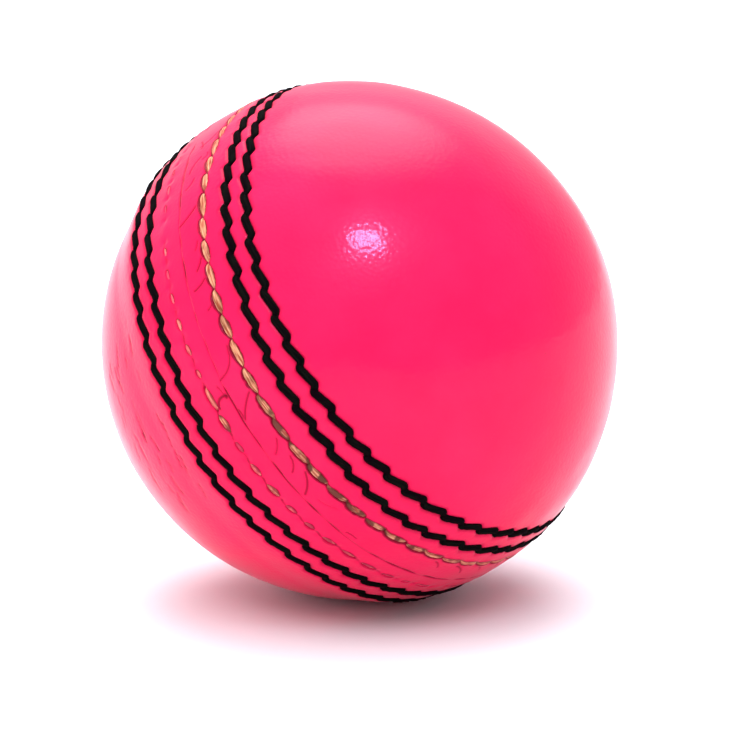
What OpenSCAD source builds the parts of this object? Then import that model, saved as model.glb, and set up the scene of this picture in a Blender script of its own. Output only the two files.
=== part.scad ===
// Two-piece cricket ball: a cork-and-rubber core, wound with worsted yarn over
// two layers of cork shims, inside two moulded leather cups. Three hand-sewn
// seams hold and dress the joint. Each is a saddle stitch, whose two threads change
// rows through every awl slit, so there are six rows of stitches.

/* [Ball] */
// Diameter of the leather face across the two poles
ball_d = 71.4; // [70:0.1:73]
// Rise of the pole axis above the horizontal, as the ball lies
pole_rise = 32; // [0:1:90]

/* [Cover] */
// Thickness of the moulded leather
leather_t = 3.2; // [3:0.1:3.8]
// Height of the raised seam band above the ball's face
seam_raise = 0.7; // [0.5:0.1:0.9]
// Half-angle of the raised band, seen from the ball's centre
band_half_angle = 20.5; // [20:0.5:23]
// Angle over which the band slopes down to the ball's face
band_slope_angle = 3; // [2:0.5:5]

/* [Stitching] */
// Stitches in each of the six rows
stitch_count = 60; // [56:2:64]
// Diameter of a stitch at its middle, where it lies on the leather
thread_d = 1.1; // [0.9:0.05:1.15]
// Diameter of a stitch's ends, where it turns down into an awl slit
knuckle_d = 0.8; // [0.7:0.05:0.85]
// Diameter of the thread where it is pulled tight inside the leather
waist_d = 0.7; // [0.5:0.05:0.75]
// Angle of the two joining rows from the seam, seen from the ball's centre
join_row_angle = 5.6; // [5.4:0.1:5.8]
// Angle of the inner dressing row on each cup
inner_row_angle = 11.4; // [11.2:0.1:11.6]
// Angle of the outer dressing row on each cup
outer_row_angle = 17.2; // [17:0.1:17.4]
// Distance that each stitch leans across its row
stitch_lean = 1.1; // [1:0.05:1.2]
// Distance that neighbouring stitches overlap along the row
stitch_overlap = 0.8; // [0.7:0.05:0.9]

/* [Inside] */
// Diameter of the moulded cork-and-rubber core
core_d = 26; // [22:0.5:30]
// Thickness of the first winding of yarn, next to the core
inner_winding_t = 3.5; // [2.5:0.1:4]
// Thickness of the middle winding, between the cork layers
middle_winding_t = 3.8; // [3:0.1:4.5]
// Thickness of each layer of cork shims
cork_t = 2.5; // [1.5:0.1:3]
// Shims in the inner cork layer
inner_shims = 6; // [4:1:8]
// Shims in the outer cork layer
outer_shims = 8; // [6:1:10]
// Gap between neighbouring shims
shim_gap = 0.5; // [0.3:0.1:1]

/* [Hidden] */
$fn = 48;
play = 0.04;                // room round a thread in its groove or slit
face_r = ball_d / 2;
band_r = face_r + seam_raise;
inside_r = face_r - leather_t;
core_r = core_d / 2;
inner_winding_r = core_r + inner_winding_t;
inner_cork_r = inner_winding_r + cork_t;
middle_winding_r = inner_cork_r + middle_winding_t;
outer_cork_r = middle_winding_r + cork_t;
shim_pole_angle = 8;        // a shim's pointed end stops this far from the layer's pole

strand_r = thread_d / 2;
knuckle_r = knuckle_d / 2;
waist_r = waist_d / 2;
strand_sides = 5;           // a strand's outline is a pentagon
strand_mid_r = band_r + 0.1;    // a stitch's middle stands proud of the leather
strand_end_r = band_r - 0.25;   // and its ends are pulled down into it
groove_floor_r = strand_end_r - knuckle_r - play;
groove_half_w = stitch_lean / 2 + strand_r + play;
shallow_tip_r = band_r - 1.65;  // bottom of a slit's shorter thread path
deep_tip_r = band_r - 2.75;     // bottom of its longer thread path
slit_half_w = stitch_overlap / 2 + knuckle_r + play;
pitch = 360 / stitch_count;
mm_per_degree = band_r * PI / 180;
lean_angle = stitch_lean / mm_per_degree;
tip_shift = 0.5;            // a path's bottom is this share of the way out to its ends

JOIN = [-join_row_angle, join_row_angle];
UPPER = [inner_row_angle, outer_row_angle];
LOWER = [-outer_row_angle, -inner_row_angle];

function unit(v) = v / norm(v);

// A point on the ball, from its angle round the seam, angle from the seam and radius
function at(turn, rise, r) = r * [cos(rise) * cos(turn), cos(rise) * sin(turn), sin(rise)];

// Angle round the seam by which a stitch runs past the slit at either of its ends
function past_slit(rise) = stitch_overlap / 2 / (mm_per_degree * cos(rise));

// Bottom of the path at slit k: the thread that leaves the higher row goes the longer way
function tip_of(k, rows, from_higher) =
    at(k * pitch + (from_higher ? 1 : -1) * past_slit(rows[1]) * tip_shift,
       (rows[0] + rows[1]) / 2, from_higher ? deep_tip_r : shallow_tip_r);

// A thread's path, four points a stitch: its start, middle and end on the leather, then the tip
// of the slit that leads it across to the other row
function path_point(i, rows, first_side) =
    let(k = floor(i / 4), side = (k + first_side) % 2, row = rows[side], past = past_slit(row))
        [at(k * pitch - past, row - lean_angle / 2, strand_end_r),
         at((k + 0.5) * pitch, row, strand_mid_r),
         at((k + 1) * pitch + past, row + lean_angle / 2, strand_end_r),
         tip_of(k + 1, rows, side == 1)][i % 4];

function path_r(i) = [knuckle_r, strand_r, knuckle_r, waist_r][i % 4];

// The strand's outline round point i of its path, square to the mean of the ways in and out
function outline(path, i) =
    let(n = len(path), p = path[i], before = path[(i + n - 1) % n], after = path[(i + 1) % n],
        ahead = unit(unit(p - before) + unit(after - p)),
        across = unit(cross(unit(p), ahead)), up = cross(ahead, across))
        [for (j = [0:strand_sides - 1])
            let(a = 90 + j * 360 / strand_sides)
                p + path_r(i) * (cos(a) * across + sin(a) * up)];

// Puts the seam's own frame, with its pole up, in the position in which the ball lies
module as_it_lies() {
    rotate([0, 90 - pole_rise, 0]) children();
}

// One endless thread of a saddle stitch: its stitches lie on the two rows in turn
module saddle_thread(rows, first_side) {
    n = 4 * stitch_count;
    path = [for (i = [0:n - 1]) path_point(i, rows, first_side)];
    polyhedron(
        points = [for (i = [0:n - 1]) each outline(path, i)],
        faces = [for (i = [0:n - 1], j = [0:strand_sides - 1])
            let(next = (i + 1) % n, turn = (j + 1) % strand_sides,
                a = i * strand_sides + j, b = i * strand_sides + turn,
                c = next * strand_sides + turn, d = next * strand_sides + j)
                each [[a, b, c], [a, c, d]]],
        convexity = 10);
}

// Outline of an awl slit: a V under the leather from one row's groove to the other's
module slit_outline(rows) {
    half = (rows[1] - rows[0]) / 2;
    w = knuckle_r + play;
    deep_end = strand_end_r * [cos(half + lean_angle / 2), sin(half + lean_angle / 2)];
    shallow_end = strand_end_r * [cos(half - lean_angle / 2), sin(half - lean_angle / 2)];
    deep_way = unit(deep_end - [deep_tip_r, 0]);
    shallow_way = unit(shallow_end - [shallow_tip_r, 0]);
    bottom = [deep_tip_r - w / deep_way.y, 0];
    top = [shallow_tip_r + w / shallow_way.y, 0];
    out = deep_end + w * [-deep_way.y, deep_way.x];
    lip = (band_r - top.x) / shallow_way.x;
    mouth = [top + lip * shallow_way, shallow_end + [w, 0]];
    rotate((rows[0] + rows[1]) / 2)
        polygon([bottom, out, mouth[1], mouth[0], top,
                 [mouth[0].x, -mouth[0].y], [mouth[1].x, -mouth[1].y], [out.x, -out.y]]);
}

// The awl slits of one seam, with room for both threads
module awl_slits(rows) {
    for (k = [0:stitch_count - 1])
        rotate([0, 0, k * pitch])
            rotate([90, 0, 0])
                translate([0, 0, -slit_half_w])
                    linear_extrude(2 * slit_half_w) slit_outline(rows);
}

// The groove that a row of stitches is pulled down into
module row_groove(row) {
    rotate_extrude()
        rotate(row)
            translate([groove_floor_r, -groove_half_w])
                square([2 * thread_d, 2 * groove_half_w]);
}

// Outline of the whole cover, with the raised band round the seam
module cover_outline() {
    edge = band_half_angle - band_slope_angle / 2;
    foot = band_half_angle + band_slope_angle / 2;
    top = band_r * [cos(edge), sin(edge)];
    bottom = face_r * [cos(foot), sin(foot)];
    above = top + (top - bottom);
    below = bottom - (top - bottom);
    circle(r = face_r);
    intersection() {
        circle(r = band_r);
        polygon([[0, 0], [below.x, -below.y], [above.x, -above.y], [2 * band_r, 0], above, below]);
    }
}

// One moulded cup, on the pole's side for side = 1 and on the other for side = -1
module leather_cup(side) {
    color([1, 0.16, 0.42])
        difference() {
            rotate_extrude()
                intersection() {
                    difference() {
                        cover_outline();
                        circle(r = inside_r);
                    }
                    translate([0, side > 0 ? 0 : -2 * band_r]) square(2 * band_r);
                }
            for (row = side > 0 ? [JOIN[1], UPPER[0], UPPER[1]] : [JOIN[0], LOWER[0], LOWER[1]])
                row_groove(row);
            awl_slits(JOIN);
            awl_slits(side > 0 ? UPPER : LOWER);
        }
}

// A hollow ball of wound yarn
module winding(outer_r, inner_r) {
    color([0.86, 0.8, 0.68])
        difference() {
            sphere(r = outer_r);
            sphere(r = inner_r);
        }
}

// Shim number i of a layer: a gore of cork sheet, bent over the winding under it
module cork_shim(outer_r, inner_r, count, i) {
    gap_angle = shim_gap / (inner_r * PI / 180);
    reach = [sin(shim_pole_angle), cos(shim_pole_angle)] * 2 * outer_r;
    color([0.78, 0.58, 0.38])
        rotate([0, 0, i * 360 / count])
            rotate_extrude(angle = 360 / count - gap_angle)
                intersection() {
                    difference() {
                        circle(r = outer_r);
                        circle(r = inner_r);
                    }
                    polygon([[0, 0], [reach.x, -reach.y], [3 * outer_r, 0], reach]);
                }
}

module core() {
    color([0.45, 0.3, 0.2]) sphere(r = core_r);
}

module thread(rows, first_side, hue) {
    color(hue) saddle_thread(rows, first_side);
}

CREAM = [0.86, 0.74, 0.52];
BLACK = [0.05, 0.05, 0.05];

as_it_lies() core();  // cork_rubber_core
as_it_lies() winding(inner_winding_r, core_r);  // inner_winding
for (i = [1:inner_shims])
    as_it_lies() cork_shim(inner_cork_r, inner_winding_r, inner_shims, i);
as_it_lies() winding(middle_winding_r, inner_cork_r);  // middle_winding
for (i = [1:outer_shims])
    as_it_lies() cork_shim(outer_cork_r, middle_winding_r, outer_shims, i);
as_it_lies() winding(inside_r, outer_cork_r);  // outer_winding
as_it_lies() leather_cup(1);  // upper_cup
as_it_lies() leather_cup(-1);  // lower_cup
as_it_lies() thread(JOIN, 0, CREAM);  // joining_thread_a
as_it_lies() thread(JOIN, 1, CREAM);  // joining_thread_b
as_it_lies() thread(UPPER, 0, BLACK);  // upper_thread_a
as_it_lies() thread(UPPER, 1, BLACK);  // upper_thread_b
as_it_lies() thread(LOWER, 0, BLACK);  // lower_thread_a
as_it_lies() thread(LOWER, 1, BLACK);  // lower_thread_b
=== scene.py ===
import math
import bpy
import numpy as np
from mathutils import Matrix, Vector


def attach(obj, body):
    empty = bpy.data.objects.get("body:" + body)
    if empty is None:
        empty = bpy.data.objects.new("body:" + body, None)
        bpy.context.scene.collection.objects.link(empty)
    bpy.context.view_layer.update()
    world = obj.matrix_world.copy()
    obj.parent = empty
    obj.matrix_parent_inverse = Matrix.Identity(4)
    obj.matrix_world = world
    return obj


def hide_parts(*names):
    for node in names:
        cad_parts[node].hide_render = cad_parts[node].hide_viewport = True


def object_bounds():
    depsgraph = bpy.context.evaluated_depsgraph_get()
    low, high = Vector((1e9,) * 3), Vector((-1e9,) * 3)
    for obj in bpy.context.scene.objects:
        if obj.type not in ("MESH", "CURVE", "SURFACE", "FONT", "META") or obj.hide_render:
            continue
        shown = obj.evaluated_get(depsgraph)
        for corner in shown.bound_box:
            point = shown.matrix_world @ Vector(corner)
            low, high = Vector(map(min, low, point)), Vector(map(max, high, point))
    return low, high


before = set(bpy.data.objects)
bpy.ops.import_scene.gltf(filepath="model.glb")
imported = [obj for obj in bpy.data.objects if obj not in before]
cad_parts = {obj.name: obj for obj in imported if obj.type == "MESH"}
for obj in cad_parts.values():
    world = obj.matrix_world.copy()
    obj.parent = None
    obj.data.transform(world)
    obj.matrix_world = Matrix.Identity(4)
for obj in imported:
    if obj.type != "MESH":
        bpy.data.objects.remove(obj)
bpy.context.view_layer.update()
print("frame loaded:", len(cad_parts), "nodes")

# Lengths are in mm and angles in degrees until a mesh is made, in metres. A point's turn is its angle round
# the seam, and its rise its angle from the seam, towards the upper cup's pole.
ball = {
    "faceRadius": 35.7,     # leather, away from the seam
    "bandRadius": 36.4,     # leather, on the raised seam band
    "insideRadius": 32.5,   # inner face of the cups
    "bandMiddle": 1.4, "bandEdge": 15.0,    # its middle, and how far from there the leather starts to fall
    "upperFoot": 56.0, "lowerFoot": 26.0,   # and how far from there it is down to the face
    "poleRise": 32.0,       # of the seam's pole above the horizontal, as the ball lies
    "stitches": 60,         # in each row
    "nearest": -82.4,       # turn of the seam's nearest point, as the ball is usually shown
}
metre = 0.001               # one mm
degree = math.pi / 180
mmPerDegree = ball["bandRadius"] * degree
pitch = 360 / ball["stitches"]


# A point from turn t, rise b and radius r: (r cos b cos t, r cos b sin t, r sin b) about the seam's pole,
# which is then leant over in the XZ plane until it stands poleRise above the horizontal.
def onBall(turn, rise, radius):
    t, b = np.radians(turn), np.radians(rise)
    x, y, z = radius * np.cos(b) * np.cos(t), radius * np.cos(b) * np.sin(t), radius * np.sin(b)
    lean = (90 - ball["poleRise"]) * degree
    return np.stack([x * math.cos(lean) + z * math.sin(lean), y,
                     z * math.cos(lean) - x * math.sin(lean)], -1)


# The turn from one place to another, -180 to 180.
def turnFrom(middle, turn):
    return (turn - middle + 180) % 360 - 180


# A soft step from 0 to 1: x^2 (3 - 2x), with x kept between 0 and 1.
def smoothStep(x):
    x = np.clip(x, 0, 1)
    return x * x * (3 - 2 * x)


# A bell curve, 1 at its middle: exp(-(x / width)^2).
def bell(x, width):
    return np.exp(-(x / width) ** 2)


# Smooth noise, about -1 to 1: a sum of sines that run through space in random directions, each with a
# wavelength (mm) near "wave".
def swell(points, wave, seed):
    dice = np.random.default_rng(seed)
    total = np.zeros(points.shape[:-1])
    for sine in range(9):
        way = dice.normal(size=3)
        way *= 2 * math.pi / (wave * dice.uniform(0.7, 1.5) * np.linalg.norm(way))
        total += np.sin(points @ way + dice.uniform(0, 2 * math.pi))
    return total / 3.5


# Smooth noise along the seam, about -1 to 1: sines that fit a whole number of times into the turn.
def wander(turn, counts, seed):
    dice = np.random.default_rng(seed)
    total = 0
    for count in counts:
        total = total + np.sin(np.radians(turn * count) + dice.uniform(0, 2 * math.pi))
    return total / len(counts) ** 0.5


# A grid of points, rows x columns x 3, as one mesh: point (i, j) joins (i + 1, j) and (i, j + 1). Columns
# always close round. The rows close round too, or each end row closes on its own point in "ends".
def gridMesh(name, points, ends=None, uv=None, fields=()):
    nRows, nCols = points.shape[:2]
    closed = ends is None
    i, j = np.meshgrid(np.arange(nRows if closed else nRows - 1), np.arange(nCols), indexing="ij")
    down, right = (i + 1) % nRows, (j + 1) % nCols
    quads = np.stack([i * nCols + j, i * nCols + right, down * nCols + right, down * nCols + j], -1)
    quads = quads.reshape(-1, 4)
    co = points.reshape(-1, 3)
    corners, starts = quads.ravel(), np.arange(len(quads)) * 4
    if not closed:
        first, last, endRow = len(co), len(co) + 1, (nRows - 1) * nCols
        here, after = np.arange(nCols), (np.arange(nCols) + 1) % nCols
        co = np.vstack([co, ends])
        startFan = np.stack([np.full(nCols, first), after, here], -1)
        endFan = np.stack([np.full(nCols, last), endRow + here, endRow + after], -1)
        starts = np.concatenate([starts, len(corners) + np.arange(2 * nCols) * 3])
        corners = np.concatenate([corners, startFan.ravel(), endFan.ravel()])
    # the sum of the faces' outward reach is positive when they point outwards
    a, b, c, d = (co[quads[:, n]] for n in range(4))
    inward = np.einsum("ij,ij->i", a, np.cross(c - a, d - b)).sum() < 0
    if inward:
        fours, threes = corners[:quads.size].reshape(-1, 4), corners[quads.size:].reshape(-1, 3)
        corners = np.concatenate([fours[:, ::-1].ravel(), threes[:, ::-1].ravel()])
    mesh = bpy.data.meshes.new(name)
    mesh.vertices.add(len(co))
    mesh.vertices.foreach_set("co", (co * metre).astype(np.float32).ravel())
    mesh.loops.add(len(corners))
    mesh.loops.foreach_set("vertex_index", corners.astype(np.int32))
    mesh.polygons.add(len(starts))
    mesh.polygons.foreach_set("loop_start", starts.astype(np.int32))
    mesh.update(calc_edges=True)
    mesh.polygons.foreach_set("use_smooth", np.ones(len(starts), bool))
    if uv is not None:      # u runs down the rows and v across the columns, with no jump where they close
        u = np.stack([uv[0][:-1], uv[0][:-1], uv[0][1:], uv[0][1:]], -1)[:, None, :].repeat(nCols, 1)
        v = np.stack([uv[1][:-1], uv[1][1:], uv[1][1:], uv[1][:-1]], -1)[None].repeat(len(uv[0]) - 1, 0)
        flat = np.stack([u, v], -1).reshape(-1, 4, 2)
        if inward:
            flat = flat[:, ::-1]
        layer = mesh.uv_layers.new(name="strand")
        layer.data.foreach_set("uv", flat.astype(np.float32).ravel())
    for field, values in dict(fields).items():
        values = np.ravel(values)
        values = np.concatenate([values, np.zeros(len(co) - len(values))]).astype(np.float32)
        mesh.attributes.new(field, "FLOAT", "POINT").data.foreach_set("value", values)
    mesh.validate()
    piece = bpy.data.objects.new(name, mesh)
    bpy.context.scene.collection.objects.link(piece)
    return piece


def finishPiece(piece, nodes, material):
    piece.data.materials.append(material)
    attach(piece, "root")
    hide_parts(*nodes)


def linear(hexColour, alpha=1.0):
    parts = [int(hexColour[n:n + 2], 16) / 255 for n in (1, 3, 5)]
    return [p / 12.92 if p <= 0.04045 else ((p + 0.055) / 1.055) ** 2.4 for p in parts] + [alpha]


# The scale of a texture whose pattern repeats about every "size" mm.
def scaleOf(size):
    return 1 / (size * metre)


# Adds a node: a setting is a property of the node, a colour ramp's stops, or the value of an input by name
# or number, and a link is the socket that feeds an input.
def addNode(tree, kind, settings=None, links=None):
    made = tree.nodes.new("ShaderNode" + kind)
    for key, value in (settings or {}).items():
        if key == "ramp":
            while len(made.color_ramp.elements) < len(value):
                made.color_ramp.elements.new(0.5)
            for element, (place, colour) in zip(made.color_ramp.elements, value):
                element.position, element.color = place, linear(colour)
        elif isinstance(key, str) and hasattr(made, key):
            setattr(made, key, value)
        else:
            made.inputs[key].default_value = value
    for key, socket in (links or {}).items():
        tree.links.new(socket, made.inputs[key])
    return made


def newMaterial(name):
    material = bpy.data.materials.new(name)
    material.use_nodes = True
    material.node_tree.nodes.clear()
    return material, material.node_tree


def output(tree, shader):
    addNode(tree, "OutputMaterial", links={"Surface": shader.outputs[0]})


# Cowhide, dyed through and sprayed with pink pigment, then lacquered and polished: saturated pink under a
# clear gloss, a fine pebble of pores that shows only in highlights, faint cloudy patches where the spray is
# thicker, and dark crimson where the finish has cracked or drawn back from the thread. The same crimson is
# also painted shade, in the furrows beside the black rows and round the openings over the cream stitches.
leatherLook = {
    # crimson is the colour of cracks, scuffs and the joint, and is also painted shade in furrows and openings
    "deep": "#E60C49", "pale": "#E61952", "crimson": "#840A28", "speck": "#8A1030",
    "cloud": 17.0,          # mm, across a cloudy patch
    "pore": 0.55,           # mm, between pores
    "wrinkle": 0.2,         # mm, the finest grain
    "relief": 0.06,         # mm, height of pores and grain
    "speckSpacing": 4.4,    # mm, between dust specks in the lacquer
    "speckSize": 0.034,     # radius of the largest, against their spacing
    "coat": 0.4, "coatBend": 1.27, "coatRough": 0.1,    # the lacquer's strength, index and roughness
    "coatLost": 0.4,        # the stain-and-shade value at which the lacquer has gone
    "sheer": 0.08, "bloom": 0.05,       # strength of the reflections of the paint and of its wax
    "rough": (0.3, 0.4),    # of the paint, from patch to patch
}


def lacqueredLeather():
    look = leatherLook
    material, tree = newMaterial("lacqueredPinkLeather")
    place = addNode(tree, "TexCoord").outputs["Object"]
    cloud = addNode(tree, "TexNoise", {"Scale": scaleOf(look["cloud"]), "Detail": 4.0, "Roughness": 0.55},
                    {"Vector": place})
    pinks = addNode(tree, "ValToRGB", {"ramp": [(0.32, look["deep"]), (0.7, look["pale"])]},
                    {"Fac": cloud.outputs[0]})
    dust = addNode(tree, "TexVoronoi", {"Scale": scaleOf(look["speckSpacing"])}, {"Vector": place})
    rare = addNode(tree, "SeparateColor", links={"Color": dust.outputs["Color"]})
    dotSize = addNode(tree, "MapRange", {"From Min": 0.55, "From Max": 1.0, "To Max": look["speckSize"]},
                      {"Value": rare.outputs[0]})
    isDot = addNode(tree, "Math", {"operation": "LESS_THAN"},
                    {0: dust.outputs["Distance"], 1: dotSize.outputs[0]})
    dotted = addNode(tree, "Mix", {"data_type": "RGBA", 7: linear(look["speck"])},
                     {0: isDot.outputs[0], 6: pinks.outputs[0]})
    # the crimson mixed in here is real stain from cracks, scuffs and the joint, and painted shade in the
    # furrows and round the cream openings
    stain = addNode(tree, "Attribute", {"attribute_name": "stain"})
    stainedAndShaded = addNode(tree, "Mix", {"data_type": "RGBA", 7: linear(look["crimson"])},
                      {0: stain.outputs["Fac"], 6: dotted.outputs[2]})
    clean = addNode(tree, "MapRange", {"From Max": look["coatLost"], "To Min": look["coat"], "To Max": 0.0},
                    {"Value": stain.outputs["Fac"]})
    pores = addNode(tree, "TexVoronoi", {"feature": "SMOOTH_F1", "Scale": scaleOf(look["pore"]),
                                         "Smoothness": 0.6}, {"Vector": place})
    wrinkle = addNode(tree, "TexNoise", {"Scale": scaleOf(look["wrinkle"]), "Detail": 3.0}, {"Vector": place})
    grain = addNode(tree, "Math", {"operation": "MULTIPLY_ADD", 1: 0.25},
                    {0: wrinkle.outputs[0], 2: pores.outputs["Distance"]})
    pebble = addNode(tree, "Bump", {"Strength": 0.35, "Distance": look["relief"] * metre},
                     {"Height": grain.outputs[0]})
    gloss = addNode(tree, "MapRange", {"From Min": 0.3, "From Max": 0.7, "To Min": look["rough"][0],
                                       "To Max": look["rough"][1]}, {"Value": cloud.outputs[0]})
    shader = addNode(tree, "BsdfPrincipled",
                     {"IOR": 1.4, "Specular IOR Level": look["sheer"], "Coat Roughness": look["coatRough"],
                      "Coat IOR": look["coatBend"], "Sheen Weight": look["bloom"], "Sheen Roughness": 0.35},
                     {"Base Color": stainedAndShaded.outputs[2], "Roughness": gloss.outputs[0],
                      "Normal": pebble.outputs[0], "Coat Normal": pebble.outputs[0],
                      "Coat Weight": clean.outputs[0]})
    output(tree, shader)
    return material


# Plied linen. The black is drawn through wax: near black, with grey-green fibres that catch a little light
# along the lay of the twist. The cream is natural linen, lightly waxed: straw to peach fibres lying side by
# side, browner where hands and dye have soaked in, and pinker where spray has caught on it.
threadLook = {
    "black": {"dark": "#030203", "light": "#0D0F0A", "tint": "#0A0206", "roughness": 0.8, "shine": 0.02},
    "cream": {"dark": "#984425", "light": "#F4B085", "tint": "#3C3212", "roughness": 0.7, "shine": 0.2},
    "paint": "#F03468",
    "patch": 1.5,           # mm, across a soiled patch
    "soil": (0.4, 1.4),     # how strongly the cleanest and the dirtiest patches are tinted
    "fibre": 0.28,          # mm, between fibres, drawn as coarse as it must be to show
    "stretch": 0.35,        # per mm, how quickly the fibres change along the thread
    "lay": 17.0,            # degrees, from the thread's length
    "relief": 0.08,         # mm, height of the fibres
}


def linenThread(name, kind):
    look, shared = threadLook[kind], threadLook
    material, tree = newMaterial(name)
    along = addNode(tree, "UVMap", {"uv_map": "strand"})
    laid = addNode(tree, "Mapping", {"Rotation": (0, 0, shared["lay"] * degree),
                                     "Scale": (shared["stretch"], 1 / shared["fibre"], 1)},
                   {"Vector": along.outputs[0]})
    fibres = addNode(tree, "TexNoise", {"Scale": 1.0, "Detail": 2.0, "Roughness": 0.6},
                     {"Vector": laid.outputs[0]})
    tones = addNode(tree, "ValToRGB", {"ramp": [(0.4, look["dark"]), (0.6, look["light"])]},
                    {"Fac": fibres.outputs[0]})
    tint = addNode(tree, "Attribute", {"attribute_name": "tint"})
    place = addNode(tree, "TexCoord").outputs["Object"]
    patches = addNode(tree, "TexNoise", {"Scale": scaleOf(shared["patch"]), "Detail": 1.0}, {"Vector": place})
    patchy = addNode(tree, "MapRange", {"From Min": 0.42, "From Max": 0.58, "To Min": shared["soil"][0],
                                        "To Max": shared["soil"][1]}, {"Value": patches.outputs[0]})
    soil = addNode(tree, "Math", {"operation": "MULTIPLY", "use_clamp": True},
                   {0: tint.outputs["Fac"], 1: patchy.outputs[0]})
    soiled = addNode(tree, "Mix", {"data_type": "RGBA", 7: linear(look["tint"])},
                     {0: soil.outputs[0], 6: tones.outputs[0]})
    paint = addNode(tree, "Attribute", {"attribute_name": "paint"})
    painted = addNode(tree, "Mix", {"data_type": "RGBA", 7: linear(shared["paint"])},
                      {0: paint.outputs["Fac"], 6: soiled.outputs[2]})
    relief = addNode(tree, "Bump", {"Strength": 0.6, "Distance": shared["relief"] * metre},
                     {"Height": fibres.outputs[0]})
    shader = addNode(tree, "BsdfPrincipled",
                     {"Roughness": look["roughness"], "Specular IOR Level": look["shine"]},
                     {"Base Color": painted.outputs[2], "Normal": relief.outputs[0]})
    output(tree, shader)
    return material


# The inside's colours, and in mm the size of its patterns and the height of their relief.
insideLook = {
    "crumb": 1.6, "crumbRelief": 0.2,
    "crumbTones": [(0.0, "#2B211C"), (0.45, "#5B3F2A"), (0.8, "#A57B4E"), (1.0, "#C79A66")],
    "figure": 2.2, "figureRelief": 0.15, "barkPore": 2.6, "poreTone": "#5A3517",
    "figureTones": [(0.3, "#A8743F"), (0.55, "#C99761"), (0.75, "#DDB482")],
    # the gap colour is painted shade between the yarn's strands
    "fuzz": 0.35, "strandRelief": 0.3, "gapShadeTone": "#8C7650",
    "strandScale": 0.35,    # of the wave texture, per mm
    "woolTones": [(0.3, "#C9B58F"), (0.7, "#EFE3C8")],
}


# Ground cork bonded with rubber and pressed in a hot mould: dark brown, with paler cork crumbs of 1 to 2 mm.
def corkRubber():
    look = insideLook
    material, tree = newMaterial("mouldedCorkRubber")
    place = addNode(tree, "TexCoord").outputs["Object"]
    crumbs = addNode(tree, "TexVoronoi", {"Scale": scaleOf(look["crumb"])}, {"Vector": place})
    pick = addNode(tree, "SeparateColor", links={"Color": crumbs.outputs["Color"]})
    tones = addNode(tree, "ValToRGB", {"ramp": look["crumbTones"]}, {"Fac": pick.outputs[0]})
    relief = addNode(tree, "Bump", {"Strength": 0.5, "Distance": look["crumbRelief"] * metre},
                     {"Height": crumbs.outputs["Distance"]})
    shader = addNode(tree, "BsdfPrincipled", {"Roughness": 0.8, "IOR": 1.5},
                     {"Base Color": tones.outputs[0], "Normal": relief.outputs[0]})
    output(tree, shader)
    return material


# Sheet cork, sliced from the bark: tan, with a fine granular figure and dark brown pores.
def sheetCork():
    look = insideLook
    material, tree = newMaterial("slicedSheetCork")
    place = addNode(tree, "TexCoord").outputs["Object"]
    figure = addNode(tree, "TexNoise", {"Scale": scaleOf(look["figure"]), "Detail": 6.0, "Roughness": 0.65},
                     {"Vector": place})
    tones = addNode(tree, "ValToRGB", {"ramp": look["figureTones"]}, {"Fac": figure.outputs[0]})
    cells = addNode(tree, "TexVoronoi", {"Scale": scaleOf(look["barkPore"])}, {"Vector": place})
    pore = addNode(tree, "MapRange", {"From Min": 0.12, "From Max": 0.22, "To Min": 1.0, "To Max": 0.0},
                   {"Value": cells.outputs["Distance"]})
    pored = addNode(tree, "Mix", {"data_type": "RGBA", 7: linear(look["poreTone"])},
                    {0: pore.outputs[0], 6: tones.outputs[0]})
    relief = addNode(tree, "Bump", {"Strength": 0.5, "Distance": look["figureRelief"] * metre},
                     {"Height": figure.outputs[0]})
    shader = addNode(tree, "BsdfPrincipled", {"Roughness": 0.85, "IOR": 1.4},
                     {"Base Color": pored.outputs[2], "Normal": relief.outputs[0]})
    output(tree, shader)
    return material


# Undyed worsted yarn, wound wet: cream wool with soft fuzz, in strands of about 0.9 mm, with painted shade in
# the gaps between them.
def worstedYarn():
    look = insideLook
    material, tree = newMaterial("woundWorstedYarn")
    place = addNode(tree, "TexCoord").outputs["Object"]
    fuzz = addNode(tree, "TexNoise", {"Scale": scaleOf(look["fuzz"]), "Detail": 4.0}, {"Vector": place})
    tones = addNode(tree, "ValToRGB", {"ramp": look["woolTones"]}, {"Fac": fuzz.outputs[0]})
    strands = addNode(tree, "TexWave", {"bands_direction": "DIAGONAL", "Scale": look["strandScale"] / metre,
                                        "Distortion": 5.0, "Detail Scale": 0.3}, {"Vector": place})
    # painted shade in the gaps between the strands
    gapShade = addNode(tree, "MapRange", {"From Max": 0.35, "To Min": 1.0, "To Max": 0.0},
                  {"Value": strands.outputs["Fac"]})
    shaded = addNode(tree, "Mix", {"data_type": "RGBA", 7: linear(look["gapShadeTone"])},
                     {0: gapShade.outputs[0], 6: tones.outputs[0]})
    relief = addNode(tree, "Bump", {"Strength": 0.5, "Distance": look["strandRelief"] * metre},
                     {"Height": strands.outputs["Fac"]})
    shader = addNode(tree, "BsdfPrincipled", {"Roughness": 0.9, "Sheen Weight": 0.3},
                     {"Base Color": shaded.outputs[2], "Normal": relief.outputs[0]})
    output(tree, shader)
    return material


leather = lacqueredLeather()
blackLinen = linenThread("waxedBlackLinen", "black")
creamLinen = linenThread("naturalLinen", "cream")
print("materials made")


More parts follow.
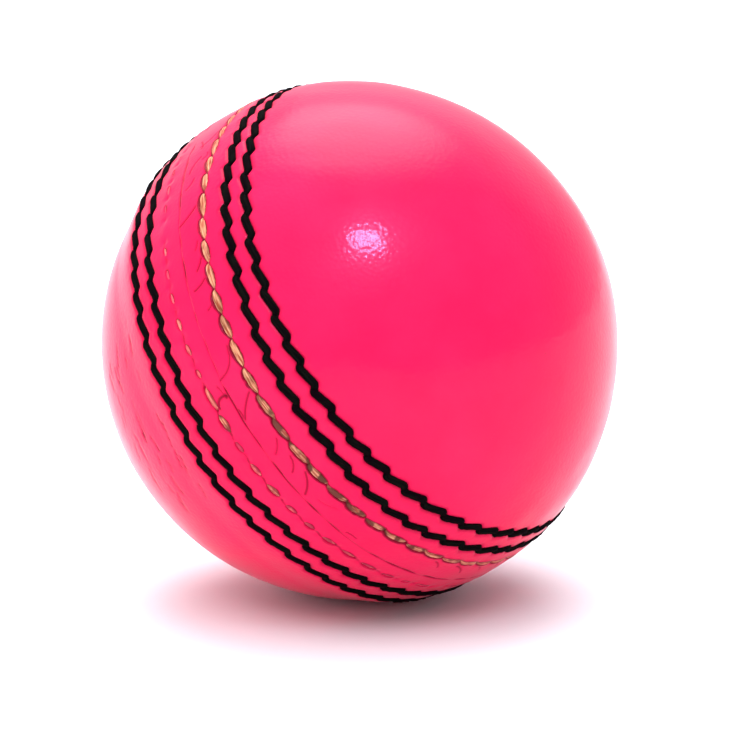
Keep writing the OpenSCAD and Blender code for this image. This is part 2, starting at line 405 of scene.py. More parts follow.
# Each row's holes, one pitch apart round the ball but never quite evenly, on a line that wanders as a
# hand-sewn row does. Against the way w round from the seam's nearest point, a row's rise is
# rise + drift sin w + lift sin^4 w - sag bell(w - 3) + stray bell(w - 45) - dip bell(|w| - 108),
# and its holes are turned by shift + gather sin w. "sway" is how far (mm) a stitch swings from the line, and
# "sunk" how much deeper (mm) the thread lies.
rowStyles = {
    "upperOuter": {"rise": 17.9, "drift": 0.0, "lift": 1.2, "sag": 0.0, "stray": 0.0, "dip": 2.6,
                   "shift": -0.8, "gather": 1.2, "sway": 0.33, "sunk": 0.0, "seed": 11, "uneven": 0.3},
    "upperInner": {"rise": 12.7, "drift": -0.8, "lift": 1.6, "sag": 0.0, "stray": 0.0, "dip": 1.6,
                   "shift": -0.3, "gather": 0.3, "sway": 0.33, "sunk": 0.0, "seed": 12, "uneven": 0.3},
    "upperCream": {"rise": 6.8, "drift": -0.7, "lift": 2.4, "sag": 0.0, "stray": 0.8, "dip": 0.8,
                   "shift": -0.6, "gather": 0.0, "sway": 0.12, "sunk": 0.0, "seed": 13, "uneven": 0.5},
    "lowerCream": {"rise": -3.6, "drift": -0.6, "lift": 1.6, "sag": 0.0, "stray": 0.9, "dip": 0.0,
                   "shift": -1.7, "gather": -3.0, "sway": 0.1, "sunk": 0.15, "seed": 14, "uneven": 0.4},
    "lowerInner": {"rise": -8.7, "drift": -0.2, "lift": 1.8, "sag": 0.9, "stray": 0.6, "dip": 0.0,
                   "shift": -0.8, "gather": -2.4, "sway": 0.36, "sunk": 0.0, "seed": 15, "uneven": 0.35},
    "lowerOuter": {"rise": -14.1, "drift": -0.3, "lift": 1.3, "sag": 0.9, "stray": 0.5, "dip": 0.0,
                   "shift": -0.7, "gather": -2.6, "sway": 0.36, "sunk": 0.0, "seed": 16, "uneven": 0.35},
}
# Where each departure is and how wide, and how far a hole strays from the line.
rowBends = {"sag": (3, 24), "stray": (45, 25), "dip": (108, 28), "jitter": 0.12, "waves": (5, 9)}


def rowLine(name, turn):
    style, bends = rowStyles[name], rowBends
    beside = turnFrom(ball["nearest"], turn)
    w = np.radians(beside)
    rise = style["rise"] + style["drift"] * np.sin(w) + style["lift"] * np.sin(w) ** 4
    rise = rise - style["sag"] * bell(beside - bends["sag"][0], bends["sag"][1])
    rise = rise + style["stray"] * bell(beside - bends["stray"][0], bends["stray"][1])
    return rise - style["dip"] * bell(np.abs(beside) - bends["dip"][0], bends["dip"][1])


def makeRow(name):
    style, jitter = rowStyles[name], rowBends["jitter"]
    dice = np.random.default_rng(style["seed"])
    count = ball["stitches"]
    turn = np.arange(count) * pitch + style["shift"] + dice.uniform(-1, 1, count) * style["uneven"]
    turn = turn + style["gather"] * np.sin(np.radians(turn - ball["nearest"]))
    rise = rowLine(name, turn) + dice.uniform(-1, 1, count) * jitter
    rise = rise + jitter * wander(turn, rowBends["waves"], style["seed"])
    return {"turn": turn, "rise": rise, "sway": style["sway"], "sunk": style["sunk"]}


rows = {name: makeRow(name) for name in rowStyles}


# A stitch's swing from its row's line, against its place q from one hole (0) to the next (1): straight falls
# away from both holes with one long climb between them, which makes a row look like the teeth of a saw.
def swing(q):
    return np.interp(q, [0, 0.06, 0.11, 0.16, 0.84, 0.89, 0.94, 1], [0, -0.6, -1, -0.95, 0.95, 1, 0.6, 0])


# Where a point stands against a row: its stitch's number, its place q along that stitch (0 to 1), its
# distance (mm) across from the stitch's own line, and its distance (mm) from the nearest hole.
def againstRow(turn, rise, row):
    holes = np.concatenate([row["turn"], row["turn"][:1] + 360])
    heights = np.concatenate([row["rise"], row["rise"][:1]])
    wrapped = (turn - holes[0]) % 360 + holes[0]
    stitch = np.clip(np.searchsorted(holes, wrapped, side="right") - 1, 0, ball["stitches"] - 1)
    q = (wrapped - holes[stitch]) / (holes[stitch + 1] - holes[stitch])
    base = heights[stitch] * (1 - q) + heights[stitch + 1] * q
    across = (rise - base) * mmPerDegree - row["sway"] * swing(q)
    shrink = np.cos(np.radians(rise))
    alongA = (wrapped - holes[stitch]) * mmPerDegree * shrink
    alongB = (holes[stitch + 1] - wrapped) * mmPerDegree * shrink
    toHole = np.minimum(np.hypot(alongA, (rise - heights[stitch]) * mmPerDegree),
                        np.hypot(alongB, (rise - heights[stitch + 1]) * mmPerDegree))
    return stitch, q, across, toHole


cupShape = {
    "furrow": 0.5, "furrowWidth": 0.57,         # mm, the groove that a black row is pulled down into
    "furrowWaxAndShade": 0.72,                        # mm, how far from it the leather is painted crimson, partly the wax's darkening, partly painted shade
    "lip": 0.02, "lipOut": 1.0, "lipWidth": 0.4,        # mm, the leather pushed up beside it
    "dimple": 0.18, "dimpleWidth": 0.45,        # mm, at each awl hole of a black row
    "creamDimple": 0.12, "creamDimpleWidth": 0.5,       # mm, and of a cream row
    "rib": 0.10, "ribWidth": 0.9,               # mm, the leather lifted over a cream stitch
    "window": 0.56, "windowDepth": 0.6,         # mm, half width and depth of the opening that bares it
    "windowEdge": 0.12, "windowBlunt": 0.8,     # mm across its edge, and how blunt its ends are
    "rim": 0.18, "rimOut": 0.08, "tail": 0.16, "tailLength": 0.9,      # mm, crimson round it and at its ends: the paint's residue and painted shade
    "rimStrength": 1.7, "farRim": 0.35, "tailMost": 0.8,
    "ragged": (0.75, 0.25, 1.1),                # the crimson's middle, unevenness and wavelength (mm)
    "seamGroove": 0.15, "seamWidth": 0.12, "seamStain": 0.16,       # mm, the joint between the cups
    "seamFaint": 0.2,                           # stain of the joint where it is closed
    "lump": 0.11, "lumpAcross": 26, "ripple": 0.35, "rippleAcross": 6,  # mm, the cover's slow unevenness
    "stripColumns": 1440, "stripRows": 64, "faceColumns": 900,
}

# The joint's line, in degrees, against the way w round from the seam's nearest point, is
# rise - tilt sin(2w + tiltTurn) + arch bell(|w| - archTurn) + waves. How open it is, 0 to 1, is a middle value
# and waves. Each wave fits its count of times into the turn.
joint = {
    "rise": 1.0, "tilt": 0.4, "tiltTurn": 20, "arch": 0.5, "archTurn": 50, "archWidth": 25,
    "waves": (9, 17, 31, 47), "waveHeight": 0.07, "open": 0.45, "openWaves": (6, 13, 22, 38, 61),
    "openHeight": 0.75,
}


def seamRise(turn):
    beside = turnFrom(ball["nearest"], turn)
    tilt = joint["tilt"] * np.sin(np.radians(2 * beside + joint["tiltTurn"]))
    arch = joint["arch"] * bell(np.abs(beside) - joint["archTurn"], joint["archWidth"])
    return joint["rise"] - tilt + arch + joint["waveHeight"] * wander(turn, joint["waves"], 5)


def seamOpen(turn):
    return np.clip(joint["open"] + joint["openHeight"] * wander(turn, joint["openWaves"], 6), 0, 1)


# How far the paint bares each cream stitch, 0 to 1, and how much of its length shows: "shown" give or take
# "spread", less what bells on both sides take away. On the right the upper ones are slimmer and run together
# in pairs, and the lower ones are wider and longer.
upperBare = {
    "shown": 1.0, "spread": 0.1, "slimmer": 0.22, "pairing": 0.45,
    "right": (-6, 8, 25, 50),       # degrees: where it starts, over how far, its middle and its width
    "fades": ((78, 0.5), (-85, 0.3)), "fadeWidth": 26,
}
lowerBare = {
    "shown": 0.45, "spread": 0.18, "length": (0.34, 0.52), "hidden": 0.12, "wider": 0.4, "longer": 0.3,
    "growth": 15, "fade": 0.85, "fadeTurn": 80, "fadeWidth": 36,
    "torn": ((-6.6, 0.75, 1.05), (-0.6, 0.95, 0.75), (32.0, 0.6, 0.6)),     # turn, bareness and length
}


def bareness(name):
    style = upperBare if name == "upperCream" else lowerBare
    dice = np.random.default_rng(len(name) + 70)
    count = ball["stitches"]
    shown = np.clip(style["shown"] + style["spread"] * dice.uniform(-1, 1, count), 0, 1.1)
    long = np.ones((2, count))      # of a stitch's first and second half
    middle = turnFrom(ball["nearest"], rows[name]["turn"] + pitch / 2)
    if name == "upperCream":
        start, over, centre, width = style["right"]
        onRight = smoothStep((middle - start) / over) * bell(middle - centre, width)
        left = 1
        for place, share in style["fades"]:
            left = left - share * bell(middle - place, style["fadeWidth"])
        shown = shown * (1 - style["slimmer"] * onRight) * left
        paired = np.arange(count) % 2
        long[1] += style["pairing"] * onRight * (1 - paired)
        long[0] += style["pairing"] * onRight * paired
        return shown, long
    long[:] = dice.uniform(*style["length"], count)
    shown[dice.uniform(size=count) < style["hidden"]] = 0
    grown = smoothStep(middle / style["growth"])
    faded = style["fade"] * bell(np.abs(middle) - style["fadeTurn"], style["fadeWidth"])
    shown = shown * (1 - faded) * (1 + style["wider"] * grown)
    long *= 1 + style["longer"] * grown
    for place, width, length in style["torn"]:
        nearest = np.abs(middle - place).argmin()
        shown[nearest], long[:, nearest] = width, length
    return shown, long


bared = {name: bareness(name) for name in ("upperCream", "lowerCream")}

# Cracks in the finish: turn and rise of both ends, counted from the seam's nearest point, how far they bow
# (mm), and how strong they are.
cracks = {
    "long": (-13.6, 5.6, -8.2, 0.9, 0.9, 1.0), "first": (-47.4, 6.4, -43.9, 1.7, 0.2, 1.1),
    "nick": (-38.1, 6.0, -36.3, 5.2, 0.1, 0.9), "short": (-33.9, 6.2, -31.6, 4.7, 0.1, 1.1),
    "second": (-29.2, 6.1, -27.6, 2.8, 0.2, 1.1), "stub": (-23.6, 6.4, -22.2, 4.6, 0.1, 1.0),
    "third": (-3.1, 5.5, 1.3, 1.4, -0.2, 1.1), "fourth": (7.8, 5.0, 10.7, 2.5, 0.2, 0.9),
    "fifth": (12.6, 5.0, 15.8, 2.9, 0.3, 1.0), "sixth": (17.2, 5.3, 21.2, 1.9, 0.3, 1.2),
    "faint": (23.8, 3.2, 27.9, 4.8, -0.2, 0.5), "hook": (-4.9, 0.4, -3.2, -2.7, -0.6, 1.7),
    "bar": (-7.4, -0.6, -5.2, -0.1, 0.1, 0.8), "knot": (-5.2, 0.2, -4.5, 0.3, 0.0, 1.7),
    "blot": (-1.0, 1.2, 0.7, 1.3, 0.1, 1.0), "smear": (-70.5, 3.8, -66.8, 5.2, 0.2, 0.9),
    "smudge": (-63.0, 5.9, -58.5, 3.7, -0.3, 0.9), "wisp": (-56.0, 5.3, -53.5, 3.3, 0.2, 0.9),
    "spot": (33.8, 1.9, 36.6, 2.1, 0.1, 0.8),
}
# Their size in mm, and in degrees the spacing, lengths and places of the short ones further round the ball.
crackStyle = {
    "depth": 0.09, "width": 0.10, "stainWidth": 0.13, "stain": 0.9, "wiggle": 0.06,
    "turns": (-34, 220, 7.5), "jitter": 1.2, "length": (1.4, 4.0), "below": 1.4, "steep": (0.5, 0.9),
    "chance": 0.7, "bow": (0.1, 0.4), "strong": (0.5, 1.0),
}


# Further round the ball, short cracks start from the upper cream row and all lean the same way.
def allCracks():
    style, near = crackStyle, ball["nearest"]
    made = [(near + a, b, near + c, d, bow, strong) for a, b, c, d, bow, strong in cracks.values()]
    dice = np.random.default_rng(41)
    for turn in np.arange(*style["turns"]):
        start = turn + dice.uniform(-style["jitter"], style["jitter"])
        length = dice.uniform(*style["length"])
        high = rowLine("upperCream", start) - style["below"]
        low = high - length * dice.uniform(*style["steep"])
        if dice.uniform() < style["chance"]:
            made.append((start, high, start + length, low, dice.uniform(*style["bow"]),
                         dice.uniform(*style["strong"])))
    return made


# Distance (mm) of every point from a bowed line: the least over short straight pieces of a quadratic curve.
def fromCrack(turn, rise, startTurn, startRise, endTurn, endRise, bow):
    near = np.abs(turnFrom((startTurn + endTurn) / 2, turn)) < abs(endTurn - startTurn) + 2
    distance = np.full(turn.shape, 99.0)
    x = turnFrom(startTurn, turn[near]) * mmPerDegree
    y = (rise[near] - startRise) * mmPerDegree
    end = np.array([endTurn - startTurn, endRise - startRise]) * mmPerDegree
    off = np.array([-end[1], end[0]]) / np.linalg.norm(end) * bow
    part = np.linspace(0, 1, 9)[:, None]
    wiggle = crackStyle["wiggle"] * np.sin(part * 23 + startTurn)
    curve = end * part + off * 4 * part * (1 - part) + np.hstack([wiggle, -wiggle])
    best = np.full(x.shape, 99.0)
    for (ax, ay), (bx, by) in zip(curve[:-1], curve[1:]):
        dx, dy = bx - ax, by - ay
        t = np.clip(((x - ax) * dx + (y - ay) * dy) / (dx * dx + dy * dy), 0, 1)
        best = np.minimum(best, np.hypot(x - ax - t * dx, y - ay - t * dy))
    distance[near] = best
    return distance


# Scuffs beside the lower cup's outer row, where a ball first meets the ground: fine short strokes that run
# much as the seam does. Turns and rises are in degrees and the sizes in mm.
scuffStyle = {
    "count": 48, "turns": (-34, 10), "rises": (-38, -20), "length": (0.8, 3.4), "slope": (-0.1, 0.5),
    "bow": (-0.2, 0.2), "strong": (0.3, 1.0), "depth": 0.07, "width": 0.15, "stain": 0.9, "stainWidth": 0.14,
}


def scuffs(turn, rise, radius, stain):
    style = scuffStyle
    dice = np.random.default_rng(52)
    for mark in range(style["count"]):
        start = ball["nearest"] + dice.uniform(*style["turns"])
        height = dice.uniform(*style["rises"])
        length = dice.uniform(*style["length"]) / mmPerDegree
        low = height - length * dice.uniform(*style["slope"])
        away = fromCrack(turn, rise, start, height, start + length * 1.2, low, dice.uniform(*style["bow"]))
        strong = dice.uniform(*style["strong"])
        radius = radius - style["depth"] * strong * bell(away, style["width"])
        stain = np.maximum(stain, style["stain"] * strong * bell(away, style["stainWidth"]))
    return radius, stain


# The leather's outer radius and its crimson: stains from cracks, scuffs and the joint, and painted shade in
# the furrows and round the cream stitches' openings. Radius = face, plus the raised band, plus slow lumps,
# less a furrow along each black row and a dimple at each hole, less the windows over cream stitches, the
# joint, cracks and scuffs.
def leatherSurface(turn, rise):
    shape = cupShape
    here = onBall(turn, rise, ball["bandRadius"])
    foot = np.where(rise > ball["bandMiddle"], ball["upperFoot"], ball["lowerFoot"])
    onBand = smoothStep((foot - np.abs(rise - ball["bandMiddle"])) / (foot - ball["bandEdge"]))
    radius = ball["faceRadius"] + (ball["bandRadius"] - ball["faceRadius"]) * onBand
    radius = radius + shape["lump"] * (swell(here, shape["lumpAcross"], 1) * (1 - 0.5 * onBand)
                                       + shape["ripple"] * swell(here, shape["rippleAcross"], 2) * onBand)
    stain = np.zeros(turn.shape)
    for name, row in rows.items():
        if np.abs(rise - row["rise"].mean()).min() > 5:     # nothing of the row reaches so far
            continue
        stitch, q, across, toHole = againstRow(turn, rise, row)
        if name not in bared:
            radius = radius - shape["furrow"] * bell(across, shape["furrowWidth"])
            radius = radius + shape["lip"] * bell(np.abs(across) - shape["lipOut"], shape["lipWidth"])
            radius = radius - shape["dimple"] * bell(toHole, shape["dimpleWidth"])
            # painted shade: the furrow beside a black row is coloured crimson for its shadow as well as for
            # the wax's darkening
            stain = np.maximum(stain, bell(across, shape["furrowWaxAndShade"]))
            continue
        shown, long = bared[name]
        reach = np.clip(0.5 + (q - 0.5) / np.where(q < 0.5, long[0][stitch], long[1][stitch]), 0, 1)
        window = shape["window"] * shown[stitch] * np.sin(math.pi * reach) ** shape["windowBlunt"]
        inside = smoothStep((window - np.abs(across)) / shape["windowEdge"] + 0.5) * (window > 0.04)
        radius = radius + shape["rib"] * bell(across, shape["ribWidth"]) * np.sin(math.pi * q) ** 2
        radius = radius - shape["creamDimple"] * bell(toHole, shape["creamDimpleWidth"])
        radius = radius - shape["windowDepth"] * inside
        middle, depth, wave = shape["ragged"]
        ragged = middle + depth * swell(here, wave, 8)
        # painted shade, in part: the crimson on the opening's floor, round its edge and at its ends stands for
        # the groove's shade as well as the paint's residue
        edge = shape["rimStrength"] * bell(np.abs(across) - window - shape["rimOut"], shape["rim"]) * ragged
        edge = np.clip(edge, 0, 1) * (window > 0.02)
        tail = shape["rimStrength"] * bell(across, shape["tail"]) * bell(toHole, shape["tailLength"]) * ragged
        tail = np.clip(tail, 0, 1)
        if name == "lowerCream":        # painted shade: the crimson outline is stronger along the upper side than the lower
            tail = tail * np.clip(shown[stitch] * 1.2, 0, shape["tailMost"])
            edge = edge * np.where(across > 0, 1.0, shape["farRim"])
        stain = np.maximum(np.maximum(stain, inside), np.maximum(edge, tail))
    toSeam = (rise - seamRise(turn)) * mmPerDegree
    opened = seamOpen(turn)
    radius = radius - shape["seamGroove"] * opened * bell(toSeam, shape["seamWidth"])
    faint = shape["seamFaint"]
    stain = np.maximum(stain, (faint + (1 - faint) * opened) * bell(toSeam, shape["seamStain"]))
    if np.abs(rise).min() < 6:
        style = crackStyle
        for *crack, strong in allCracks():
            away = fromCrack(turn, rise, *crack)
            radius = radius - style["depth"] * strong * bell(away, style["width"])
            dark = np.clip(style["stain"] * strong, 0, 1) * bell(away, style["stainWidth"] * strong)
            stain = np.maximum(stain, dark)
    if rise.min() <= scuffStyle["rises"][1]:
        radius, stain = scuffs(turn, rise, radius, stain)
    return radius, stain


# The strip of a cup that carries its cream row, from the joint to the inner black row, as a closed ring: out
# along the leather, down its far edge, back along the inner face and up the joint.
def makeStrip(name, cup):
    columns = cupShape["stripColumns"]
    turn = (np.arange(columns) * 360 / columns)[None]
    part = np.linspace(0, 1, cupShape["stripRows"])[:, None]
    start = seamRise(turn)
    rise = start + (rowLine(cup + "Inner", turn) - start) * part
    turn = np.broadcast_to(turn, rise.shape)
    radius, stain = leatherSurface(turn, rise)
    outer = onBall(turn, rise, radius)
    innerRise = np.stack([rise[-1], (rise[-1] + rise[0]) / 2, rise[0]])
    inner = onBall(turn[:3], innerRise, ball["insideRadius"])
    return gridMesh(name, np.concatenate([outer, inner]),
                    fields={"stain": np.concatenate([stain, np.zeros(innerRise.shape)])})


# The face's rows, in steps away from its edge: two tucked under the strip by "tuck" (mm), then ever further
# apart until "last", in degrees like those of the inner face.
faceRows = {"tucked": (-0.25, -0.2), "close": (0.05, 9, 38), "wider": (9.3, 31, 48), "widest": (32, 76, 16),
            "tuck": 0.06, "last": 88.5, "inner": (86, 60, 30)}


# The rest of a cup, from under the inner black row to the pole, as a closed bowl: its rows run from the pole
# of the inner face, out to the edge, and back over the outer face to its pole.
def makeFace(name, cup, side):
    spread = faceRows
    columns = cupShape["faceColumns"]
    turn = (np.arange(columns) * 360 / columns)[None]
    away = np.concatenate([spread["tucked"], np.linspace(*spread["close"]), np.linspace(*spread["wider"]),
                           np.linspace(*spread["widest"])])
    edge = rowLine(cup + "Inner", turn)
    rise = edge + (side * spread["last"] - edge) * away[:, None] / away[-1]
    turn = np.broadcast_to(turn, rise.shape)
    radius, stain = leatherSurface(turn, rise)
    radius[:2] -= spread["tuck"]
    outer = onBall(turn, rise, radius)
    innerRise = np.concatenate([side * np.array(spread["inner"])[:, None] + 0 * edge, rise[:1]])
    inner = onBall(np.broadcast_to(turn[:1], innerRise.shape), innerRise, ball["insideRadius"])
    poles = onBall(np.zeros(2), np.full(2, side * 90.0), np.array([ball["insideRadius"], radius[-1].mean()]))
    return gridMesh(name, np.concatenate([inner, outer]), ends=poles,
                    fields={"stain": np.concatenate([np.zeros(innerRise.shape), stain])})


for cup, side in (("upper", 1), ("lower", -1)):
    finishPiece(makeStrip(cup + "CupSeamStrip", cup), [cup + "_cup"], leather)
    finishPiece(makeFace(cup + "CupFace", cup, side), [cup + "_cup"], leather)
print("leather cups made")


threadShape = {
    # mm: the radius at a stitch's middle and ends, the height of its middle from the leather's surface, and
    # how much lower its ends are. "flat" is its height against its width, and "frayed" how rough it is.
    "black": {"radius": 0.58, "ends": 0.53, "top": -0.27, "sink": 0.1, "flat": 0.9, "frayed": 0.05},
    "cream": {"radius": 0.5, "ends": 0.3, "top": -0.33, "sink": 0.55, "flat": 0.9, "frayed": 0.03},
    "waist": 0.35,                  # mm, radius inside the leather
    "deep": 2.7, "shallow": 1.6,    # mm under the leather, where a pair's two threads pass each other
    "dive": 1.25, "runOn": 0.45, "pull": 0.8,       # how tightly the hidden curves turn
    "lay": 3.3, "plies": 3, "plyDepth": 0.10,       # mm for one turn of the twist
    "sides": 12, "shownRings": 17, "hiddenRings": 4,
}


# A thread's path: each stitch lies on one of the two rows from hole to hole, at top - sink |2q - 1|^4 from
# the surface, with its rings closer together near the holes. A cubic curve under the leather leads from its
# end down, across to the other row and up again.
def threadPath(kind, first, second, start):
    style, shared = threadShape[kind], threadShape
    q = np.interp(np.linspace(0, 1, shared["shownRings"]), [0, 0.3, 0.7, 1], [0, 0.16, 0.84, 1])
    t = np.linspace(0, 1, shared["hiddenRings"] + 2)[1:-1, None]
    count = ball["stitches"]
    strands, sizes, numbers = [], [], []
    for k in range(count):
        row = (first, second)[(k + start) % 2]
        here, after = row["turn"][k], row["turn"][(k + 1) % count] + (360 if k + 1 == count else 0)
        turn = here + q * (after - here)
        rise = row["rise"][k] * (1 - q) + row["rise"][(k + 1) % count] * q
        rise = rise + row["sway"] * swing(q) / mmPerDegree
        bend = np.abs(2 * q - 1) ** 4
        height = ball["bandRadius"] + style["top"] - row["sunk"] - style["sink"] * bend
        strands.append(onBall(turn, rise, height))
        sizes.append(style["radius"] - (style["radius"] - style["ends"]) * bend)
    points, radii, paints = [], [], []
    for k in range(count):
        a, b = strands[k], strands[(k + 1) % count]
        leaving = (a[-1] - a[-2]) / np.linalg.norm(a[-1] - a[-2])
        arriving = (b[1] - b[0]) / np.linalg.norm(b[1] - b[0])
        side = (k + start) % 2
        down = shared["deep"] if side == 1 else shared["shallow"]
        middle = (a[-1] + b[0]) / 2
        low = middle * (1 - shared["dive"] * down / np.linalg.norm(middle))
        pull = [a[-1] + shared["runOn"] * leaving + shared["pull"] * (low - a[-1]),
                b[0] - shared["runOn"] * arriving + shared["pull"] * (low - b[0])]
        under = (1 - t) ** 3 * a[-1] + 3 * t * (1 - t) ** 2 * pull[0] + 3 * t * t * (1 - t) * pull[1]
        under = under + t ** 3 * b[0]
        points += [a, under]
        radii += [sizes[k], np.full(len(t), shared["waist"])]
        numbers += [np.full(len(a) + len(t), k)]
        paints += [np.full(len(a) + len(t), (first, second)[side]["paint"][k])]
    return np.concatenate(points), np.concatenate(radii), np.concatenate(numbers), np.concatenate(paints)


# A plied outline carried along a closed path: at each point the outline stands square to the path, with its
# top towards the outside of the ball. Its radius is r (1 - d (1 - |cos(n/2 (angle - twist))|)^2) for n plies,
# and it is pressed flatter by "flat" and roughened by "frayed".
def makeThread(name, kind, first, second, start, tints):
    path, radii, numbers, paints = threadPath(kind, first, second, start)
    style, shared = threadShape[kind], threadShape
    step = np.linalg.norm(np.roll(path, -1, 0) - path, axis=1)
    length = np.concatenate([[0], np.cumsum(step)])
    turns = round(length[-1] / shared["lay"])
    twist = 2 * math.pi * turns * length[:-1] / length[-1]
    ahead = np.roll(path, -1, 0) - np.roll(path, 1, 0)
    ahead /= np.linalg.norm(ahead, axis=1)[:, None]
    out = path / np.linalg.norm(path, axis=1)[:, None]
    across = np.cross(out, ahead)
    across /= np.linalg.norm(across, axis=1)[:, None]
    up = np.cross(ahead, across)
    angle = np.arange(shared["sides"]) * 2 * math.pi / shared["sides"]
    groove = 1 - np.abs(np.cos(shared["plies"] / 2 * (angle[None] - twist[:, None])))
    dice = np.random.default_rng(len(name))
    rough = style["frayed"] * dice.uniform(-1, 1, groove.shape)
    r = radii[:, None] * (1 - shared["plyDepth"] * groove ** 2 + rough)
    points = path[:, None] + (r * np.cos(angle))[..., None] * across[:, None] \
        + (r * np.sin(angle) * style["flat"])[..., None] * up[:, None]
    uv = (length, np.linspace(0, 2 * math.pi * style["radius"], shared["sides"] + 1))
    tint, paint = (np.broadcast_to(v[:, None], r.shape) for v in (tints[numbers], paints))
    return gridMesh(name, points, uv=uv, fields={"tint": tint, "paint": paint})


# How pink each cream stitch is, by how little it is bared (none of the spray sticks to the waxed black), and
# how soiled each stitch is. Cream ones are more so on the right of the seam's nearest point.
threadSoil = {
    "paint": (0.95, 0.85), "paintRange": (0.05, 0.8), "paintOn": {"upperCream": 0.35, "lowerCream": 1.0},
    "cream": (0.0, 0.35), "black": (0.0, 0.8), "right": 0.8, "rightFrom": -8, "rightOver": 12,
    "rightMiddle": 20, "rightWidth": 45,
}
for name, row in rows.items():
    row["paint"] = np.zeros(ball["stitches"])
    if name in bared:
        most, less = threadSoil["paint"]
        row["paint"] = np.clip(most - bared[name][0] * less, *threadSoil["paintRange"])
        row["paint"] *= threadSoil["paintOn"][name]
creamTint = np.random.default_rng(3).uniform(*threadSoil["cream"], ball["stitches"])
beside = turnFrom(ball["nearest"], np.arange(ball["stitches"]) * pitch)
onRight = smoothStep((beside - threadSoil["rightFrom"]) / threadSoil["rightOver"])
onRight = threadSoil["right"] * onRight * bell(beside - threadSoil["rightMiddle"], threadSoil["rightWidth"])
creamTint = np.clip(creamTint + onRight, 0, 1)
blackTint = np.random.default_rng(4).uniform(*threadSoil["black"], ball["stitches"])

seams = {
    "joining": ("cream", "lowerCream", "upperCream", creamTint, creamLinen),
    "upper": ("black", "upperInner", "upperOuter", blackTint, blackLinen),
    "lower": ("black", "lowerOuter", "lowerInner", blackTint, blackLinen),
}
for seam, (kind, low, high, tints, finish) in seams.items():
    for start, letter in enumerate("AB"):
        thread = makeThread(seam + "Thread" + letter, kind, rows[low], rows[high], start, tints)
        finishPiece(thread, [f"{seam}_thread_{letter.lower()}"], finish)
print("threads made")


yarn, cork, core = worstedYarn(), sheetCork(), corkRubber()
for nodeName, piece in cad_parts.items():
    for word, material in (("shim", cork), ("core", core), ("winding", yarn)):
        if word in nodeName:
            piece.data.materials.clear()
            piece.data.materials.append(material)
print("inside made")


floorLook = {"tone": "#E6EBEF", "roughness": 0.9, "half": 6.0}     # metres
white, whiteTree = newMaterial("paleFloor")
output(whiteTree, addNode(whiteTree, "BsdfPrincipled", {"Base Color": linear(floorLook["tone"]),
                                                        "Roughness": floorLook["roughness"]}))
floorMesh = bpy.data.meshes.new("floor")
half, ground = floorLook["half"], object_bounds()[0].z
floorMesh.from_pydata([(x * half, y * half, ground) for x, y in ((-1, -1), (1, -1), (1, 1), (-1, 1))], [],
                      [(0, 1, 2, 3)])
floorMesh.materials.append(white)
floor = bpy.data.objects.new("floor", floorMesh)
bpy.context.scene.collection.objects.link(floor)

camera = {"azimuth": 30.0, "elevation": 10.0, "distance": 0.4597, "lens": 158.9, "shift": (0.0209, -0.0435)}
az, el = camera["azimuth"] * degree, camera["elevation"] * degree
back = np.array([math.sin(az) * math.cos(el), -math.cos(az) * math.cos(el), math.sin(el)])
right = np.array([math.cos(az), math.sin(az), 0.0])
above = np.cross(back, right)


# Ways in the viewer's frame, (right, up, towards the viewer), turned into the scene's.
def inScene(way):
    return way[0] * right + way[1] * above + way[2] * back


# A white studio, a little brighter above, behind and on the left, with a soft round panel overhead: along a
# way d its light is strength + d . side, and more towards the panel.
studio = {"strength": 0.74, "side": (-0.1, 0.1, -0.1), "tint": "#FFFAFF",
          "panel": 6.0, "panelWay": (0.0, 0.975, -0.22), "panelEdge": 0.86, "panelCore": 0.985}
world = bpy.data.worlds.new("studio")
bpy.context.scene.world = world
world.use_nodes = True
sky = world.node_tree
way = addNode(sky, "TexCoord").outputs["Generated"]
toward = addNode(sky, "VectorMath", {"operation": "DOT_PRODUCT", 1: inScene(studio["side"])}, {0: way})
glow = addNode(sky, "Math", {"operation": "ADD", 1: studio["strength"]}, {0: toward.outputs["Value"]})
facing = addNode(sky, "VectorMath", {"operation": "DOT_PRODUCT", 1: inScene(studio["panelWay"])}, {0: way})
panel = addNode(sky, "MapRange", {"interpolation_type": "SMOOTHSTEP", "From Min": studio["panelEdge"],
                                  "From Max": studio["panelCore"], "To Max": studio["panel"]},
                {"Value": facing.outputs["Value"]})
whole = addNode(sky, "Math", {"operation": "ADD"}, {0: glow.outputs[0], 1: panel.outputs[0]})
background = sky.nodes["Background"]
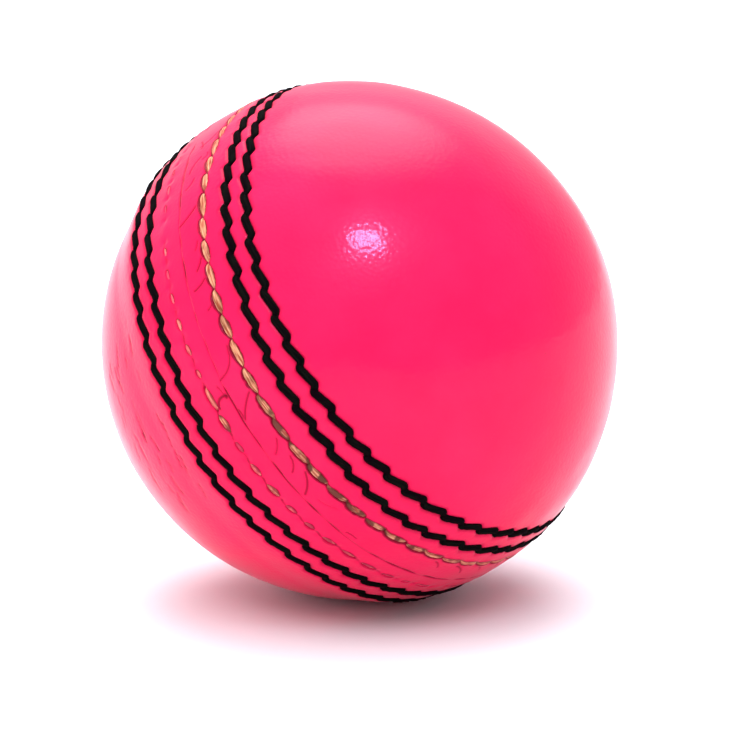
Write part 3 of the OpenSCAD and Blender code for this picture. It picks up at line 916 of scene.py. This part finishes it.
background.inputs["Color"].default_value = linear(studio["tint"])
sky.links.new(whole.outputs[0], background.inputs["Strength"])

# The lights: a broad sun from above and in front and a soft fill on the left, which only light the scene,
# and a small soft box above the viewer and a wide card behind on the right, which only show in the lacquer.
# "from" is the way to each from the ball, in the viewer's frame, and an area light stands at its end (metres).
lights = {
    "front": {"type": "SUN", "from": (-0.08, 0.88, 0.47), "spread": 70.0, "strength": 2.6, "tint": "#FFFFFF",
              "lit": True, "mirrored": False},
    "fill": {"type": "SUN", "from": (-0.95, -0.05, 0.3), "spread": 100.0, "strength": 0.9, "tint": "#FFFFFF",
             "lit": True, "mirrored": False},
    "key": {"type": "AREA", "from": (0.13, 0.69, 0.715), "size": (0.24, 0.14), "strength": 14.0,
            "tint": "#D0B8FF", "lit": False, "mirrored": True},
    "card": {"type": "AREA", "from": (0.9, 2.1, -1.7), "size": (3.2, 1.6), "strength": 7.0,
             "tint": "#FFFFFF", "lit": False, "mirrored": True},
}


def aimedAt(obj, place):
    way = Vector(place)
    obj.location = way
    obj.rotation_euler = (-way).to_track_quat("-Z", "Y").to_euler()


for name, light in lights.items():
    lamp = bpy.data.lights.new(name, light["type"])
    lamp.energy, lamp.color = light["strength"], linear(light["tint"])[:3]
    if light["type"] == "SUN":
        lamp.angle = light["spread"] * degree
    else:
        lamp.shape = "RECTANGLE"
        lamp.size, lamp.size_y = light["size"]
    lampObject = bpy.data.objects.new(name, lamp)
    bpy.context.scene.collection.objects.link(lampObject)
    aimedAt(lampObject, inScene(light["from"]))
    lampObject.visible_diffuse, lampObject.visible_glossy = light["lit"], light["mirrored"]

lens = bpy.data.cameras.new("camera")
lens.lens, lens.sensor_width, lens.shift_x, lens.shift_y = camera["lens"], 36.0, *camera["shift"]
lens.clip_start, lens.clip_end = 0.01, 50.0
viewer = bpy.data.objects.new("camera", lens)
bpy.context.scene.collection.objects.link(viewer)
aimedAt(viewer, back * camera["distance"])
bpy.context.scene.camera = viewer
bpy.context.scene.view_settings.view_transform = "Standard"
print("stage made")
